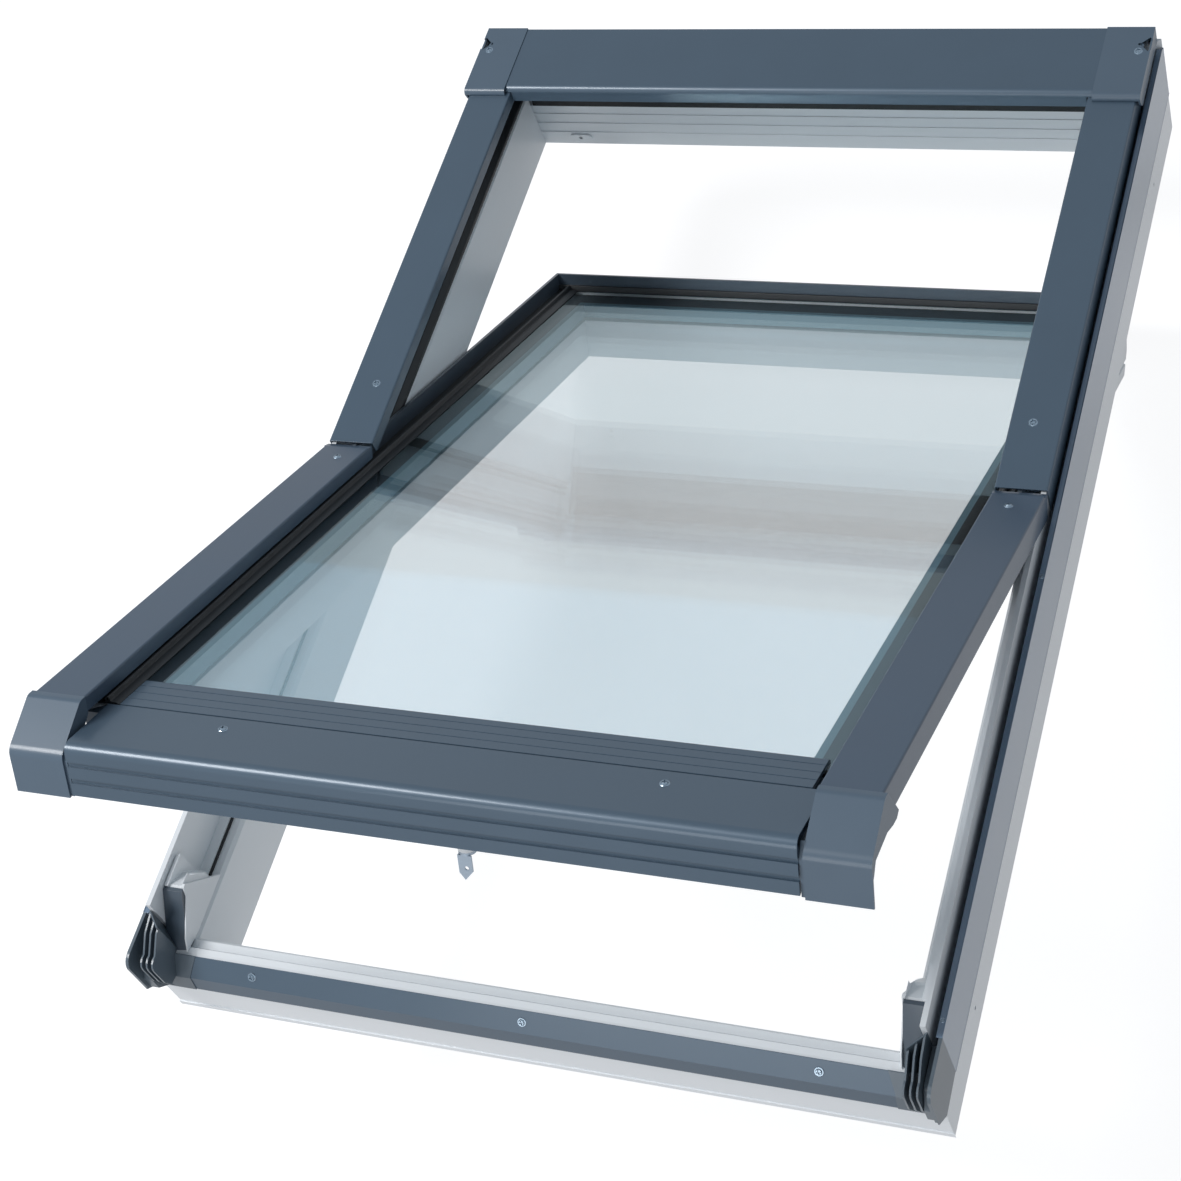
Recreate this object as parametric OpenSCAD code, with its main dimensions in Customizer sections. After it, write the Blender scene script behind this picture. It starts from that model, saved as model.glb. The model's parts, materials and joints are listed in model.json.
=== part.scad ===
// Centre-pivot roof window: a fixed outer frame with its metal covers and hood,
// and a glazed sash that turns about a line in the plane of the side covers.
// The row frame has +X across, +Y up the slope and +Z out of the roof. Its origin
// is the middle of the frame's back plane. Pieces are drawn from the pivot line:
// y = 0 and z = 0 lie on it, so "depth" below is always measured down from the
// top plane of the side covers.

/* [Frame] */
// Width over the outer faces of the frame
frame_w = 780; // [550:10:1340]
// Height over the outer faces of the frame, along the slope
frame_h = 1180; // [780:10:1600]
// Depth from the top plane of the covers to the back of the frame
frame_d = 147.5; // [125:0.5:180]
// Width of each frame rail, from the outer face to the opening
rail_w = 40; // [38:0.5:60]
// Distance of the pivot line below the middle of the frame
pivot_drop = 10; // [0:1:40]
// Depth of the ledge next to the opening
ledge_low = 66; // [64:0.5:72]
// Depth of the ledge next to the upstand
ledge_high = 62; // [60:0.5:66]
// Width of the ledge next to the opening
ledge_w = 11; // [8:0.5:14]
// Width of the groove between the two ledges
groove_w = 2; // [1:0.5:4]
// Depth of the groove between the two ledges
groove_d = 6; // [3:0.5:10]
// Distance from the frame's outer face to the upstand
upstand_inset = 11.5; // [9:0.5:14]
// Thickness of the upstand
upstand_t = 5; // [3:0.5:6]
// Depth of the gutter floor outside the upstand
gutter_depth = 80; // [76:1:90]
// Width of the hollow chambers in the frame rails
chamber_w = 13; // [6:1:14]

/* [Cladding and covers] */
// Thickness of the outer cladding sheets
clad_t = 1.2; // [0.8:0.1:2]
// Depth of the side cladding's folded lip
clad_lip_depth = 23; // [18:1:30]
// Width of the side cladding's folded lip
clad_lip_w = 6; // [3:0.5:6]
// Depth of the side cladding's lower edge
clad_low_depth = 93; // [88:1:120]
// Width of a side cover
cover_w = 51; // [46:1:54]
// Distance from the frame's outer face to a side cover
cover_inset = 9.5; // [9:0.5:12]
// Thickness of the side covers
cover_t = 1.5; // [1:0.1:2]
// Depth of an upper cover's outer skirt
skirt_out = 33; // [20:1:45]
// Depth of a lower cover's outer skirt
sash_skirt = 27; // [20:1:36]
// Depth of a side cover's inner skirt
skirt_in = 14; // [8:1:15]
// Gap between the lower and the upper cover at the pivot line
cover_gap = 2.5; // [2:0.5:5]

/* [Hood] */
// Length of the hood along the slope
hood_len = 94; // [80:1:120]
// Height of the hood's top above the side covers
hood_rise = 6; // [4:0.5:10]
// Distance from the frame's top face to the hood
hood_back = 6; // [3:1:10]
// Radius of the hood's rolled front edge
hood_roll = 8; // [5:0.5:12]
// Thickness of the hood sheet
hood_t = 1.5; // [1:0.1:2]
// Width of a hood end cap
hood_cap_w = 50; // [30:1:70]

/* [Sash] */
// Gap on each side between the sash and the frame opening
sash_gap = 2; // [1.5:0.5:5]
// Gap between the sash's upper edge and the frame opening
sash_top_gap = 16; // [14:1:24]
// Gap between the sash's lower inside edge and the frame opening
sash_low_gap = 8; // [6:1:16]
// Width of a sash stile
stile_w = 50; // [44:1:60]
// Width of the sash's top rail
sash_top_w = 41; // [36:1:56]
// Width of the sash's bottom rail inside the opening
sash_low_w = 52; // [44:1:64]
// Depth of the sash's inner face
sash_depth = 95; // [88:1:110]
// Depth of the sash's outer rim
rim_depth = 4; // [3:0.5:6]
// Thickness of the sash's outer rim
rim_t = 3.5; // [3:0.5:5]
// Distance from the frame's lower face to the front of the sash cap
cap_reach = 18; // [16:1:24]
// Depth of the flat top of the sash cap
cap_depth = 20; // [18:1:24]
// Depth of the lower edge of the sash cap's front
cap_low_depth = 70; // [60:1:74]
// Thickness of the sash cap's front
cap_wall = 4.5; // [3.5:0.5:6]
// Angle that the sash stands open
open_angle = 30.4; // [0:0.1:60]

/* [Glazing] */
// Thickness of each glass pane
pane_t = 4; // [3:0.5:6]
// Width of the cavity between the panes
cavity = 16; // [10:1:16]
// Depth of the outer pane's top face
glass_depth = 24; // [23:0.5:28]
// Width of the pane's edge that the sash holds
glass_bite = 28; // [24:1:30]
// Width of the spacer bar
spacer_w = 7; // [5:0.5:10]
// Width of the dark border between the gasket and the spacer's inner face
border_w = 21; // [18:1:24]

/* [Hinges and lock] */
// Middle radius of the hinge's curved track
track_r = 44; // [40:1:46]
// Width of the hinge's curved track
track_w = 8; // [6:0.5:10]
// Clearance of the shoe in the track, on each side
track_clear = 0.25; // [0.15:0.05:0.5]
// Half of the angle that the shoe spans
shoe_half_angle = 7; // [4:0.5:8]
// Thickness of the hinge plates
hinge_t = 4; // [3:0.5:4]
// Distance of the lock's axis from the frame opening's lower edge
lock_back = 28; // [26:1:50]
// Radius of the round base of the lock case
lock_r = 23; // [16:1:26]
// Radius of the lock spindle
spindle_r = 3.5; // [2.5:0.25:4.5]
// Running clearance of the lock spindle
spindle_clear = 0.05; // [0.02:0.01:0.1]

/* [Fasteners] */
// Radius of a screw head
screw_head_r = 3.4; // [2.5:0.1:4]
// Height of a screw head
screw_head_h = 1.6; // [1:0.1:2.5]
// Radius of a screw shank
screw_r = 1.7; // [1.2:0.1:2.2]
// Clearance around a screw shank
screw_clear = 0.1; // [0.05:0.05:0.3]
// Distance from the frame's upper or lower end to a bracket screw hole
bracket_end = 110; // [80:5:200]
// Height of the bracket screw holes above the frame's back
bracket_up = 28; // [15:1:45]
// Radius of the bracket screws' pilot holes
bracket_r = 2; // [1.5:0.1:3]
// Depth of the bracket screws' pilot holes
bracket_deep = 12; // [8:1:13]

/* [Hidden] */
$fn = 48;

eps = 0.01;
navy = [0.27, 0.33, 0.39];
slate = [0.22, 0.26, 0.30];
plastic_grey = [0.42, 0.45, 0.48];
rubber = [0.06, 0.07, 0.08];
white = [0.93, 0.94, 0.95];
zinc = [0.72, 0.76, 0.80];
glass = [0.75, 0.87, 0.92, 0.35];

// Frame planes, measured from the pivot line
x_out = frame_w / 2;
x_in = x_out - rail_w;
y_low = -frame_h / 2 + pivot_drop;
y_high = frame_h / 2 + pivot_drop;
y_low_in = y_low + rail_w;
y_high_in = y_high - rail_w;
z_back = -frame_d;
x_body = x_out - clad_t;
x_up_out = x_out - upstand_inset;
x_up_in = x_up_out - upstand_t;
upstand_depth = rim_depth;
groove_at = ledge_w;
groove_end = ledge_w + groove_w;
// The upstand and the ledges stop here, where the corner baffle begins
y_baffle = y_low_in - 1;
// The bottom rail's outside slopes from the ledge down to the drip edge
slope_top = [y_low + 18, -ledge_high];
slope_mid = [y_low + 3, -ledge_high - 16];
slope_low = [y_low, -ledge_high - 33];

// Cover edges
cover_out = x_out - cover_inset;
cover_in = cover_out - cover_w;

// Sash planes, with the sash closed
sash_x = x_in - sash_gap;
sash_x_in = sash_x - stile_w;
sash_y_high = y_high_in - sash_top_gap;
sash_y_high_in = sash_y_high - sash_top_w;
sash_y_low = y_low_in + sash_low_gap;
sash_y_low_in = sash_y_low + sash_low_w;
cap_front = y_low - cap_reach;
corner_front_low = cap_low_depth + 3;

// Glass planes
glass_x = sash_x_in + glass_bite;
glass_y_high = sash_y_high - 6;
glass_y_low = sash_y_low_in - 10;
pane2_depth = glass_depth + pane_t + cavity;
glass_back = pane2_depth + pane_t;
shelf_z = -glass_depth - 2;
gasket_x_in = sash_x_in + border_w;
gasket_y_high = glass_y_high - 4;
strip_y_high = sash_y_low_in + 3;

// Hinge planes
track_x = sash_x + sash_gap + 0.8;
// The track's screws reach 3.3 mm into the upstand
track_shank = x_up_in - track_x - hinge_t + 3.3;
shoe_start = -14;

// ---------------------------------------------------------------- helpers

// Place frame pieces in the row frame
module at_pivot() { translate([0, -pivot_drop, frame_d]) children(); }

// Place sash pieces in the row frame, at the open angle
module on_sash() { at_pivot() rotate([-open_angle, 0, 0]) children(); }

// Draw for the right side, and mirror for the left side
module on_side(s) { if (s > 0) children(); else mirror([1, 0, 0]) children(); }

// Run a section drawn in (x, z) along Y
module along_y(y0, y1) { translate([0, y1, 0]) rotate([90, 0, 0]) linear_extrude(y1 - y0) children(); }

// Run a section drawn in (y, z) along X
module along_x(x0, x1) { translate([x0, 0, 0]) rotate([90, 0, 90]) linear_extrude(x1 - x0) children(); }

// A block between two corners
module block(a, b) { translate(a) cube(b - a); }

// A prism over a plan outline in (x, y)
module plan(z0, z1, points) { translate([0, 0, z0]) linear_extrude(z1 - z0) polygon(points); }

// A screw standing on z = 0, with its head up and a cross recess
module screw(shank = 10) {
    difference() {
        union() {
            cylinder(r1 = screw_head_r, r2 = screw_head_r * 0.75, h = screw_head_h);
            translate([0, 0, -shank]) cylinder(r = screw_r, h = shank + eps);
        }
        for (a = [0, 90])
            rotate([0, 0, a + 20]) translate([-screw_head_r * 0.5, -0.4, screw_head_h * 0.35])
                cube([screw_head_r, 0.8, screw_head_h]);
    }
}

// The hole that a screw passes through
module screw_hole(shank = 10) { translate([0, 0, -shank - 0.5]) cylinder(r = screw_r + screw_clear, h = shank + 5); }

// Arc points about a centre, for rounded outlines
function arc(c, r, a0, a1, n = 6) =
    [for (i = [0:n]) let (a = a0 + (a1 - a0) * i / n) [c[0] + r * cos(a), c[1] + r * sin(a)]];

// ------------------------------------------------------- screw positions

cover_screw_x = (cover_in + cover_out) / 2 - 3;
cover_screw_y = 80;
sash_screw_y = -34;
cap_screw_x = frame_w * 0.2564;
cap_screw_y = y_low + 37;
cladding_screw_x = frame_w * 0.359;
hood_screw_x = x_out - 6;
hood_screw_y = y_high - 30;
track_screw_y = 30;
track_screw_depth = 50;

module at_cover_screws() { for (s = [-1, 1]) translate([s * cover_screw_x, cover_screw_y, 0]) children(); }

module at_cladding_screws() {
    mid = (slope_top + slope_mid) / 2;
    run = slope_top - slope_mid;
    for (i = [-1:1])
        translate([i * cladding_screw_x, mid[0], mid[1]]) rotate([atan2(run[1], run[0]), 0, 0])
            translate([0, 0, clad_t]) children();
}

module at_track_screws(s) {
    for (dy = [-track_screw_y, track_screw_y])
        translate([s * (track_x + hinge_t - eps), dy, -track_screw_depth]) rotate([0, -s * 90, 0]) children();
}

module at_sash_cover_screws() { for (s = [-1, 1]) translate([s * cover_screw_x, sash_screw_y, 0]) children(); }

module at_cap_screws() { for (s = [-1, 1]) translate([s * cap_screw_x, cap_screw_y, -cap_depth]) children(); }

// ------------------------------------------------------------- the frame

// Section of a side rail in (x, z)
module side_rail_section() {
    difference() {
        polygon([[x_in, z_back], [x_body, z_back], [x_body, -gutter_depth], [x_up_out, -gutter_depth],
                 [x_up_out, -upstand_depth], [x_up_in, -upstand_depth], [x_up_in, -ledge_high],
                 [x_in + groove_end, -ledge_high], [x_in + groove_end, -ledge_high - groove_d],
                 [x_in + groove_at, -ledge_high - groove_d], [x_in + groove_at, -ledge_low],
                 [x_in + 3, -ledge_low], [x_in, -ledge_low - 4]]);
        rail_chambers(x_in + 4);
    }
}

// Two hollow chambers, the first starting at u
module rail_chambers(u) {
    for (i = [0, 1])
        translate([u + i * (chamber_w + 3), z_back + 6]) square([chamber_w, frame_d - gutter_depth - 22]);
}

// Plan of a side rail with mitred ends
module side_rail_plan(z0, z1) {
    plan(z0, z1, [[x_in, y_low_in], [x_out, y_low], [x_out, y_high], [x_in, y_high_in]]);
}

module frame_side_rail() {
    color(white) difference() {
        intersection() {
            along_y(y_low, y_high) side_rail_section();
            side_rail_plan(z_back, 0);
        }
        block([x_up_in - eps, y_low - 1, -ledge_high], [x_out + 1, y_baffle, 1]);
        block([x_up_in - eps, y_high - hood_back - hood_t, -upstand_depth - 8], [x_out + 1, y_high + 1, 1]);
        at_track_screws(1) screw_hole(track_shank + 2);
        for (y = [y_low + bracket_end, y_high - bracket_end])
            translate([x_body - bracket_deep, y, z_back + bracket_up]) rotate([0, 90, 0])
                cylinder(r = bracket_r, h = bracket_deep + 1);
    }
}

module frame_rail_left() { at_pivot() on_side(-1) frame_side_rail(); }
module frame_rail_right() { at_pivot() on_side(1) frame_side_rail(); }

// The top rail's inner face has three shallow steps, and its top carries the hood
module frame_rail_top() {
    step = 1.2;
    top_z = -hood_roll - 6;
    at_pivot() color(white) difference() {
        intersection() {
            along_x(-x_out, x_out) difference() {
                polygon([[y_high_in, z_back], [y_high - clad_t, z_back], [y_high - clad_t, top_z],
                         [y_high_in + 9, top_z], [y_high_in + 9, -ledge_high - 26],
                         [y_high_in + 3 * step, -ledge_high - 26], [y_high_in + 3 * step, -ledge_high - 38],
                         [y_high_in + 2 * step, -ledge_high - 38], [y_high_in + 2 * step, -ledge_high - 52],
                         [y_high_in + step, -ledge_high - 52], [y_high_in + step, -ledge_high - 66],
                         [y_high_in, -ledge_high - 66]]);
                rail_chambers(y_high_in + 6);
            }
            plan(z_back, 0, [[-x_in, y_high_in], [x_in, y_high_in], [x_out, y_high], [-x_out, y_high]]);
        }
        translate([-300, y_high_in + 8, z_back + 12]) rotate([90, 0, 0]) cylinder(r = 4.1, h = 12);
    }
}

module bottom_rail_blank() {
    intersection() {
        along_x(-x_out, x_out)
            polygon([[y_low_in, z_back], [y_low_in, -ledge_low - 4], [y_low_in - 3, -ledge_low],
                     [y_low_in - groove_at, -ledge_low], [y_low_in - groove_at, -ledge_high - groove_d],
                     [y_low_in - groove_end, -ledge_high - groove_d], [y_low_in - groove_end, -ledge_high],
                     slope_top, slope_mid, slope_low, [slope_low[0] + clad_t, slope_low[1]],
                     [y_low + clad_t, z_back + 7], [y_low, z_back + 7], [y_low, z_back]]);
        plan(z_back, 0, [[-x_in, y_low_in], [x_in, y_low_in], [x_out, y_low], [-x_out, y_low]]);
    }
}

module frame_rail_bottom() {
    at_pivot() color(white) difference() {
        bottom_rail_blank();
        along_x(-x_in, x_in) rail_chambers(y_low + 5);
        at_cladding_screws() screw_hole(12);
    }
}

// Upright sheet on the frame's outer side, with a lip folded in at the top and a hem below
module side_cladding() {
    color(navy) difference() {
        along_y(y_baffle, y_high - 2) polygon([
            [x_body, -clad_low_depth], [x_out - 0.2, -clad_low_depth - 1.6], [x_out + 0.4, -clad_low_depth - 1.2],
            [x_out, -clad_low_depth + 0.6], [x_out, -clad_lip_depth + 1], [x_out - 1, -clad_lip_depth],
            [x_out - clad_lip_w, -clad_lip_depth], [x_out - clad_lip_w, -clad_lip_depth - clad_t],
            [x_body, -clad_lip_depth - clad_t]]);
        translate([0, y_high - 2, -clad_lip_depth]) rotate([45, 0, 0])
            translate([x_out - 10, -4, -2]) cube([20, 8, 8]);
    }
}
module side_cladding_left() { at_pivot() on_side(-1) side_cladding(); }
module side_cladding_right() { at_pivot() on_side(1) side_cladding(); }

// Section of the sheet over the bottom rail, in (y, z)
module bottom_sheet_section(t) {
    polygon([slope_top, slope_mid, slope_low, slope_low + [-t, 0], slope_mid + [-t * 0.85, t * 0.3],
             slope_top + [-t * 0.4, t], slope_top + [0, t]]);
}

bridge_x = x_in - 9;
bridge_slant = 7;

// Plan of the region outside the bottom cladding's slanted right end
module bridge_region() {
    plan(z_back, 0, [[bridge_x, y_low_in], [x_body, y_low_in], [x_body, cap_front], [bridge_x + bridge_slant, cap_front],
                     [bridge_x + bridge_slant, slope_mid[0]], [bridge_x, slope_top[0]]]);
}

module bottom_cladding() {
    at_pivot() color(slate) difference() {
        along_x(-bridge_x - bridge_slant, bridge_x + bridge_slant) bottom_sheet_section(clad_t);
        for (s = [-1, 1]) on_side(s) bridge_region();
        at_cladding_screws() screw_hole(12);
    }
}

// Dark seals around the upper half: on the side ledges and along the top rail
module upper_seal() {
    at_pivot() color(rubber) {
        for (s = [-1, 1]) on_side(s) {
            along_y(track_screw_y + 40, y_high_in - 1) polygon([
                [x_in + 1, -ledge_low - 1.4 + eps], [x_in + 3, -ledge_low + eps], [x_in + ledge_w, -ledge_low + eps],
                [x_in + ledge_w, -ledge_low + 7], [x_in + 6, -ledge_low + 9], [x_in + 1, -ledge_low + 3]]);
        }
        along_x(-x_in + 1, x_in - 1) polygon([
            [y_high_in + 9, -ledge_high - 26 + eps], [y_high_in + 9, -28], [y_high_in + 4, -30],
            [y_high_in + 2, -48], [y_high_in + 5, -52], [y_high_in + 2, -ledge_high - 8],
            [y_high_in + 5, -ledge_high - 12], [y_high_in + 3, -ledge_high - 26 + eps]]);
    }
}

// Dark strips in the grooves between the side ledges of the lower half
module ledge_seal() {
    at_pivot() color(rubber)
        for (s = [-1, 1]) on_side(s)
            along_y(y_low_in + 12, -track_screw_y - 32)
                translate([x_in + groove_at, -ledge_high - groove_d]) square([groove_w, groove_d - 1.5]);
}

// Section of a side cover in (x, z)
module cover_section(skirt) {
    r = 2;
    polygon(concat([[cover_out, -skirt]], arc([cover_out - r, -r], r, 0, 90),
                   arc([cover_in + r, -r], r, 90, 180), [[cover_in, -skirt_in]],
                   [[cover_in + cover_t, -skirt_in]],
                   arc([cover_in + r, -r], r - cover_t, 180, 90),
                   arc([cover_out - r, -r], r - cover_t, 90, 0), [[cover_out - cover_t, -skirt]]));
}

hood_front = y_high - hood_back - hood_len;
module upper_cover() {
    color(navy) difference() {
        along_y(cover_gap, y_high - hood_back - 40) cover_section(skirt_out);
        block([cover_in - 1, hood_front + 8, -skirt_in - 1], [cover_in + cover_t + 1, y_high, -cover_t - 1]);
        translate([cover_screw_x, cover_screw_y, 0]) screw_hole(6);
    }
}
module upper_cover_left() { at_pivot() on_side(-1) upper_cover(); }
module upper_cover_right() { at_pivot() on_side(1) upper_cover(); }

// Clips that hold the upper covers on the upstands
module frame_cover_clips() {
    at_pivot() color(plastic_grey)
        for (s = [-1, 1]) on_side(s) {
            for (y = [cover_screw_y, 230, 400]) difference() {
                block([x_in - 0.5, y - 12, -upstand_depth - 10], [x_up_out, y + 12, -cover_t]);
                block([x_up_in, y - 13, -upstand_depth - 11], [x_up_out + 1, y + 13, -upstand_depth]);
                translate([cover_screw_x, cover_screw_y, 0]) screw_hole(20);
            }
        }
}

// ------------------------------------------------------------- the hood

// Section of the hood in (y, z): rolled front edge, flat top and a back flange
module hood_section(t) {
    r = hood_roll;
    top = hood_rise;
    back = y_high - hood_back;
    polygon(concat(
        [[back, -hood_roll - 6], [back, top]], arc([hood_front + r, top - r], r, 90, 180),
        [[hood_front - 3, top - r - 8], [hood_front - 3 + t, top - r - 8]],
        arc([hood_front + r, top - r], r - t, 180, 90), [[back - t, top - t], [back - t, -hood_roll - 6]]));
}

hood_cap_in = x_out - 5 - hood_cap_w;
module hood() {
    at_pivot() color(navy) difference() {
        along_x(-hood_cap_in - 20, hood_cap_in + 20) hood_section(hood_t);
        for (s = [-1, 1]) on_side(s)
            block([cover_in - 1, hood_front - 9, -hood_roll - 9], [x_out, y_high - hood_back - hood_t - 3, 0.3]);
    }
}

// Section of a hood end cap in (y, z), a sheet over the hood that stops above the covers
hood_cap_reach = 5;
module hood_cap_section(t) {
    top = hood_rise + t;
    front = hood_front - hood_cap_reach;
    r = top - 0.5;
    back = y_high - hood_back + t;
    polygon(concat([[back, -hood_roll - 6], [back, top]], arc([front + r, top - r], r, 90, 180),
        arc([front + r, top - r], r - t, 180, 90), [[back - t, top - t], [back - t, -hood_roll - 6]]));
}

// End cap: a shell over the hood's end, with a side wall that has a notch for its screw
module hood_cap() {
    wall_x = hood_cap_in + hood_cap_w;
    front = hood_front - hood_cap_reach;
    top = hood_rise + 1;
    r = top - 0.5;
    back = y_high - hood_back + 1;
    color(navy) difference() {
        union() {
            along_x(hood_cap_in, wall_x) hood_cap_section(1);
            along_x(wall_x - 2, wall_x) polygon(concat(
                [[back, -hood_roll - 6 + eps], [back, top]], arc([front + r, top - r], r, 90, 180),
                [[front + 2, -7], [front + 8, -hood_roll - 6 + eps]]));
            translate([wall_x - 12, hood_screw_y, 0.5]) cylinder(r = 4.2, h = top - 0.5 - eps);
        }
        translate([wall_x - 2.5, hood_screw_y, top - 2]) rotate([0, 0, 45])
            translate([-7, -7, 0]) cube([14, 14, 6]);
        translate([wall_x - 12, hood_screw_y, top - 12]) cylinder(r = screw_r + screw_clear, h = 14);
    }
}
module hood_cap_left() { at_pivot() on_side(-1) hood_cap(); }
module hood_cap_right() { at_pivot() on_side(1) hood_cap(); }

// ------------------------------------------------- corner pieces, frame

blade_pitch = 6;
blade_t = 1.8;
baffle_x = x_in + 14;
baffle_front = cap_front + 6;
// The baffle's back plate is slanted, so the inner blades start lower
baffle_slant = 16;
baffle_floor = clad_lip_depth + 19;

// Outline of a blade in (y, z), with a pointed tip in front of the frame
module blade_outline() {
    polygon(concat([[y_baffle, -ledge_high + eps], [y_baffle, -14], [y_low + 17, -19]],
                   arc([y_low - 3, -39], 9, 70, 180, 4), [[baffle_front, -64], [y_low - 5, -86], [y_low - 7, -76],
                   slope_mid + [-0.5, 0.5], slope_top + [0, eps]]));
}

// Plan of the region in front of the slanted line, set back by d
module baffle_region(d) {
    plan(z_back, 0, [[baffle_x, y_baffle - baffle_slant - d], [x_up_out, y_baffle - d], [x_out + 1, y_baffle - d],
                     [x_out + 1, cap_front - 1], [baffle_x, cap_front - 1]]);
}

// Outline of the shell's front in (y, z), with its lowest points given
function shell_outline(z_back_low, low_points) = concat(
    [[y_baffle, z_back_low], [y_baffle, -clad_lip_depth]],
    arc([y_low - 3, -clad_lip_depth - 13], 13, 90, 170, 6), low_points);

// Lower end of the side rail, below a level and up to x1 across
module side_rail_bed(level, x1) {
    intersection() {
        side_rail_plan(z_back, level);
        block([x_in, y_low - 1, z_back - 1], [x1, y_baffle + 1, 0]);
    }
}

// Moulded corner piece: upright blades on a slanted back plate, a shell outside them,
// and a floor that closes the end of the gutter
module corner_baffle() {
    shell_front = cap_front + 2;
    floor_end = y_low + 6;
    color(plastic_grey) difference() {
        union() {
            intersection() {
                union() {
                    for (i = [0:2])
                        along_x(baffle_x + i * blade_pitch, baffle_x + i * blade_pitch + blade_t) blade_outline();
                    difference() {
                        block([baffle_x, y_baffle - baffle_slant - 2, -ledge_high + eps], [x_up_out, y_baffle, -14.5]);
                        baffle_region(2);
                    }
                }
                baffle_region(0);
            }
            block([baffle_x, y_low + 9, -ledge_high + 2], [x_up_out - 0.7, y_low + 11, -38]);
            intersection() {
                along_x(bridge_x, x_body) bottom_sheet_section(2);
                bridge_region();
            }
            along_x(x_body, x_out) polygon(shell_outline(-clad_low_depth, [[shell_front, -78], [y_low, -97]]));
            along_x(x_body - 2, x_body + eps)
                polygon(shell_outline(-gutter_depth + 4, [[shell_front, -74], [y_low + 1, -78]]));
            along_x(x_up_out, x_body) polygon(concat(
                [[y_baffle, -gutter_depth + eps], [y_baffle, -baffle_floor]],
                arc([floor_end, -baffle_floor - 9], 9, 90, 160, 4),
                [[y_low - 8, -57.5], [baffle_front, -62], [baffle_front, -80],
                 [y_low - 1.5, -95.5], [y_low, -95], slope_mid + [0, -1], [y_low + 10, -gutter_depth + eps]]));
        }
        bottom_rail_blank();
        side_rail_bed(-gutter_depth, x_body);
        side_rail_bed(-ledge_high, x_up_out);
    }
}
module corner_baffle_left() { at_pivot() on_side(-1) corner_baffle(); }
module corner_baffle_right() { at_pivot() on_side(1) corner_baffle(); }

ramp_x = x_in + 2.5;
ramp_top = 14;
ramp_y = y_low_in + 25;
ramp_end = y_low_in - groove_at - 9;
ramp_flat = 4;

// Profile of the ramp in (y, z), down to its foot
module ramp_profile(foot) {
    polygon([[ramp_y, foot], [ramp_y, -ramp_top], [ramp_y - ramp_flat, -ramp_top], [ramp_end, -ledge_high + 0.2],
             [y_low_in - groove_at - eps, -ledge_high + 0.2], [y_low_in - groove_at - eps, foot]]);
}

// Block on the ledge with a sloping top that the closing sash slides down.
// A second facet leans towards the opening
module ramp_block() {
    facet_turn = 8;
    facet_angle = atan2(ledge_high - ramp_top, ramp_y - ramp_flat - ramp_end) + 2.5;
    color(slate) difference() {
        intersection() {
            union() {
                along_x(ramp_x, x_in + groove_at) ramp_profile(-ledge_low + eps);
                along_x(x_in + groove_at - eps, x_up_in - 0.2) ramp_profile(-ledge_high + eps);
            }
            union() {
                plan(z_back, 0, [[ramp_x, ramp_end - 1], [baffle_x - 0.3, ramp_end - 1],
                                 [baffle_x - 0.3, ramp_y + 1], [ramp_x, ramp_y + 1]]);
                difference() {
                    block([baffle_x - 1, y_baffle - baffle_slant, z_back], [x_up_in, ramp_y + 1, 0]);
                    baffle_region(-0.4);
                }
            }
        }
        translate([ramp_x, ramp_y - ramp_flat, -ramp_top]) rotate([0, 0, -facet_turn]) rotate([facet_angle, 0, 0])
            translate([-40, -120, 0]) cube([120, 120, 80]);
    }
}
module ramp_block_left() { at_pivot() on_side(-1) ramp_block(); }
module ramp_block_right() { at_pivot() on_side(1) ramp_block(); }

guide_len = 36;
// White chute above the ramp block, with a fin that slopes down on the opening's side
module guide() {
    y0 = ramp_y + 0.1;
    y1 = ramp_y + guide_len;
    xa = ramp_x;
    xb = x_up_in - 1;
    wall = 4;
    top = -ramp_top + 2;
    color(white) difference() {
        union() {
            plan(-ledge_high + eps, top, concat([[xa + 1, y0], [xb, y0]],
                arc([xb - 8, y1 - 8], 8, 0, 90), arc([xa + 9, y1 - 8], 8, 90, 180)));
            along_x(xa - 1.5, xa + 1.5) polygon([[y1 + 6, -ledge_low + 1], [y0 + 4, top], [y0, top],
                [y0 - 4, -ramp_top - 8], [ramp_y - 36, -ledge_low + 17], [ramp_y - 44, -ledge_low + 5],
                [ramp_y - 20, -ledge_low + 1]]);
        }
        // The chute's floor slopes down to the back
        intersection() {
            along_x(xa - 2, xb - wall) polygon([[y0 - 1, -ramp_top - 1], [y0 + 3, -ramp_top - 1],
                                                 [y1 - wall, -ramp_top - 20], [y1 - wall, 0], [y0 - 1, 0]]);
            union() {
                block([xa + 1.5, y0 - 1, -ledge_high], [xb, y1 - 10, 1]);
                plan(-ledge_high, 1, concat([[xa + 4, y1 - 11], [xb - wall, y1 - 11]],
                    arc([xb - wall - 5, y1 - wall - 5], 5, 0, 90), arc([xa + 9, y1 - wall - 5], 5, 90, 180)));
            }
        }
        // Between the fin and the outer wall, the back steps down
        along_x(xa - 2, xb - wall) polygon([[y0 + 16, 0], [y0 + 16, -ramp_top - 4], [y1 + 8, -ledge_low + 6], [y1 + 8, 0]]);
        block([xa - 5, y0 - 60, -ledge_high - 10], [xa + 5, y1 + 20, -ledge_low + 0.5]);
        block([xa - 0.1, ramp_y - 60, -100], [xa + 20, ramp_y + 0.1, 0]);
    }
}
module guide_left() { at_pivot() on_side(-1) guide(); }
module guide_right() { at_pivot() on_side(1) guide(); }

// ----------------------------------------------------- hinges and lock

// A ring sector about the pivot line, between two radii and two angles, along X
module track_sector(x0, x1, r0, r1, a0, a1) {
    translate([x0, 0, 0]) rotate([90, 0, 90]) rotate([0, 0, a0])
        rotate_extrude(angle = a1 - a0, $fn = 96) translate([r0, 0]) square([r1 - r0, x1 - x0]);
}

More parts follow.
